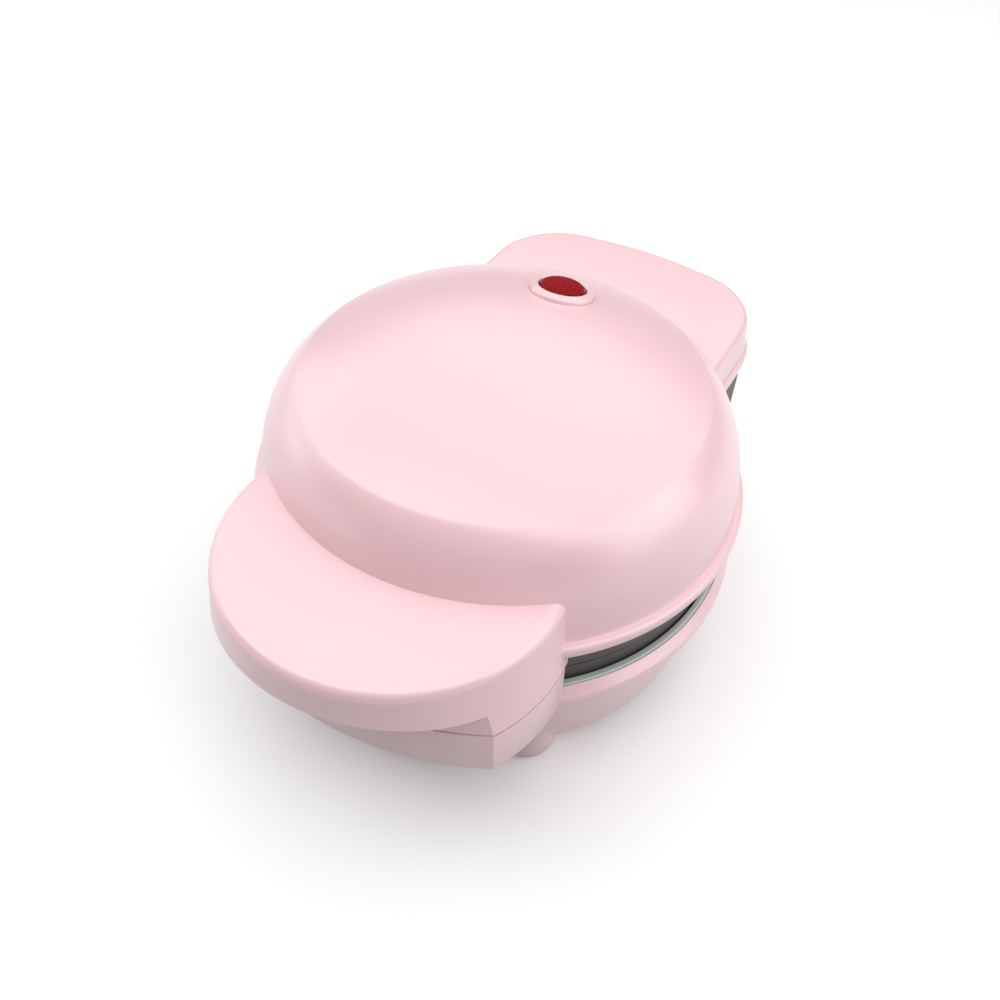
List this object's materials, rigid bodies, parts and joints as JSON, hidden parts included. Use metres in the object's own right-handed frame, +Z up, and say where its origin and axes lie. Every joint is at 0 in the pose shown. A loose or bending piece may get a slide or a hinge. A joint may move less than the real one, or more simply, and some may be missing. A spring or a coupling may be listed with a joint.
{
  "type": "waffle maker",
  "caption": "Round clamshell mini waffle maker: domed lid with visor handle and lamp on a rear hinge, gridded plates, footed base.",
  "frame": {"origin": "on the worktop under the middle of the machine's overall length and width", "axes": "+Z up from the worktop, +Y from the visor handle towards the hinge, +X to the machine's right seen from the handle with the hinge behind"},
  "size_m": [0.127, 0.1849, 0.0953],
  "materials": {
    "housing_gloss": "glossy pale pink moulded plastic",
    "non_stick": "cast aluminium with a dark non-stick coating",
    "hinge_grey": "dark grey glass-filled plastic",
    "steel": "zinc-plated steel",
    "shield_steel": "pressed aluminised steel sheet",
    "trim_metal": "satin rolled aluminium",
    "element_steel": "heater tube, dulled steel",
    "lens_red": "translucent deep red plastic",
    "lamp_glass": "clear glass neon bulb",
    "silicone": "silicone sleeving",
    "ceramic": "off-white thermostat body",
    "nylon": "natural nylon",
    "rubber_pad": "grey rubber"
  },
  "bodies": {
    "base": {"base_shell": "housing_gloss", "foot_pad_1": "rubber_pad", "foot_pad_2": "rubber_pad", "foot_pad_3": "rubber_pad", "foot_pad_4": "rubber_pad", "plate_trim_ring": "trim_metal", "lower_plate": "non_stick", "lower_element": "element_steel", "lower_heat_shield": "shield_steel", "lower_plate_screw_1": "steel", "lower_plate_screw_2": "steel", "lower_plate_screw_3": "steel", "thermal_fuse": "steel", "terminal_block": "nylon", "base_loom": "silicone", "cord_gland": "hinge_grey", "hinge_housing": "hinge_grey", "hinge_pin_left": "steel", "hinge_pin_right": "steel", "hinge_housing_screw_1": "steel", "hinge_housing_screw_2": "steel"},
    "lid": {"lid_shell": "housing_gloss", "lid_rear_cover": "housing_gloss", "rear_cover_screw_1": "steel", "rear_cover_screw_2": "steel", "lid_hinge_bracket": "hinge_grey", "lamp_lens": "lens_red", "neon_lamp": "lamp_glass", "lamp_holder": "silicone", "upper_plate": "non_stick", "upper_element": "element_steel", "upper_heat_shield": "shield_steel", "upper_plate_screw_1": "steel", "upper_plate_screw_2": "steel", "upper_plate_screw_3": "steel", "thermostat": "ceramic", "lid_loom": "silicone"}
  },
  "joints": [
    {"name": "lid_hinge", "type": "hinge", "parent": "base", "child": "lid", "pos_m": [0, 0.0664, 0.0485], "axis": [-1, 0, 0], "range_deg": [0, 95]}
  ]
}
